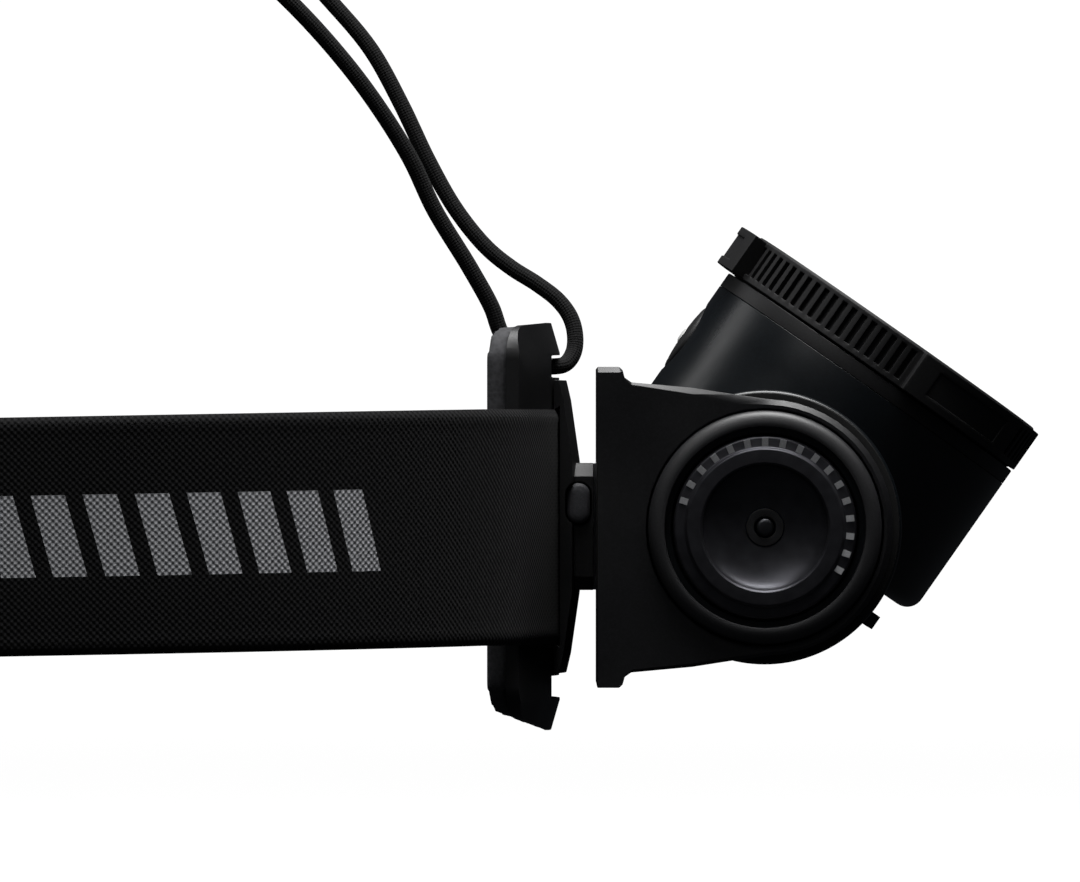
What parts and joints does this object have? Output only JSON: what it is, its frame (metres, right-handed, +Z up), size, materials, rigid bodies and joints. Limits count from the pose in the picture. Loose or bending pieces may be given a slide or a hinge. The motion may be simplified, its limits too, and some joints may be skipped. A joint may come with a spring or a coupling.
{
  "type": "headlamp",
  "caption": "Headlamp with a rotating focus ring on a drum head, a cross barrel that tilts in a yoke, an elastic band and an overhead cord.",
  "frame": {"origin": "the head mount: midway between the two side edges of the forehead pad, at the middle of the band's height", "axes": "+X points forward from the wearer's forehead, +Z up, +Y to the wearer's left"},
  "size_m": [0.2926, 0.1568, 0.1457],
  "materials": {
    "black_shell": "moulded, fine grain, black",
    "soft_grip": "soft-touch black",
    "pad_rubber": "dark grey foam rubber",
    "webbing": "woven elastic, black",
    "cord_sheath": "braided elastic cord, black",
    "seal_rubber": "satin black",
    "steel": "plated",
    "alloy": "machined",
    "dark_dish": "dark satin",
    "clear_lens": "clear",
    "board_green": "solder mask",
    "emitter_yellow": "phosphor dome",
    "cell_wrap": "shrink wrap",
    "icon_white": "white, translucent"
  },
  "bodies": {
    "headband": {"forehead_pad": "pad_rubber", "base_plate": "black_shell", "front_cover": "black_shell", "dock_rail": "alloy", "rail_screw_upper": "steel", "rail_screw_lower": "steel", "cover_screw_upper": "steel", "cover_screw_lower": "steel", "strap": "webbing", "rear_clip": "black_shell", "cord_lock_barrel": "black_shell", "overhead_cord": "cord_sheath"},
    "release_button": {"release_button": "soft_grip"},
    "slider_right": {"strap_slider_right": "black_shell"},
    "slider_left": {"strap_slider_left": "black_shell"},
    "cord_lock": {"cord_lock_plunger": "black_shell"},
    "yoke": {"yoke": "black_shell"},
    "lamp_head": {"lamp_housing": "black_shell", "front_collar": "black_shell", "heat_sink": "alloy", "led_board": "board_green", "board_screw_right": "steel", "board_screw_left": "steel", "led_emitter": "emitter_yellow", "driver_board": "board_green", "tactile_switch": "steel", "battery_cell": "cell_wrap", "contact_spring": "steel", "hub_ring_right": "black_shell", "hub_ring_left": "black_shell", "friction_washer_right": "seal_rubber", "friction_washer_left": "seal_rubber", "charge_port": "dark_dish", "charge_insulator": "seal_rubber", "charge_pin": "steel"},
    "cap_seal": {"cap_seal": "seal_rubber"},
    "battery_cap": {"battery_cap": "black_shell"},
    "switch_button": {"switch_button": "soft_grip", "button_lens": "icon_white"},
    "focus_ring": {"focus_ring": "soft_grip", "front_window": "clear_lens", "window_seal": "seal_rubber"},
    "lens_carrier": {"lens_carrier": "black_shell", "collimator_lens": "clear_lens"}
  },
  "joints": [
    {"name": "release_press", "type": "slide", "parent": "headband", "child": "release_button", "axis": [0, 1, 0], "range_m": [0, 0.001], "stiffness_N_per_m": 500, "springref_m": -0.001},
    {"name": "slider_right_slide", "type": "slide", "parent": "headband", "child": "slider_right", "axis": [0.9998, 0, 0.018], "range_m": [-0.014, 0.026]},
    {"name": "slider_left_slide", "type": "slide", "parent": "headband", "child": "slider_left", "axis": [0.9998, 0, 0.018], "range_m": [-0.014, 0.026]},
    {"name": "cord_lock_press", "type": "slide", "parent": "headband", "child": "cord_lock", "axis": [1, 0, 0], "range_m": [0, 0.002], "stiffness_N_per_m": 600, "springref_m": -0.003},
    {"name": "dock_slide", "type": "slide", "parent": "headband", "child": "yoke", "axis": [0, 0, 1], "range_m": [0, 0.02]},
    {"name": "head_tilt", "type": "hinge", "parent": "yoke", "child": "lamp_head", "pos_m": [0.0418, 0, 0], "axis": [0, 1, 0], "range_deg": [0, 110]},
    {"name": "cap_travel", "type": "slide", "parent": "lamp_head", "child": "cap_seal", "axis": [0, 1, 0], "range_m": [0, 0.003]},
    {"name": "cap_turn", "type": "hinge", "parent": "cap_seal", "child": "battery_cap", "pos_m": [0.0418, 0.0382, 0], "axis": [0, 1, 0], "range_deg": [0, 720]},
    {"name": "switch_press", "type": "slide", "parent": "lamp_head", "child": "switch_button", "axis": [0.8192, 0, -0.5736], "range_m": [0, 0.0008], "stiffness_N_per_m": 500, "springref_m": -0.001},
    {"name": "focus_turn", "type": "hinge", "parent": "lamp_head", "child": "focus_ring", "pos_m": [0.0418, 0, 0], "axis": [0.5736, 0, 0.8192], "range_deg": [0, 90]},
    {"name": "focus_travel", "type": "slide", "parent": "lamp_head", "child": "lens_carrier", "axis": [0.5736, 0, 0.8192], "range_m": [0, 0.004]}
  ],
  "couplings": [
    {"joint": "focus_travel", "follows": "focus_turn", "m_per_rad": 0.0025465},
    {"joint": "cap_travel", "follows": "cap_turn", "m_per_rad": 0.00019894}
  ]
}
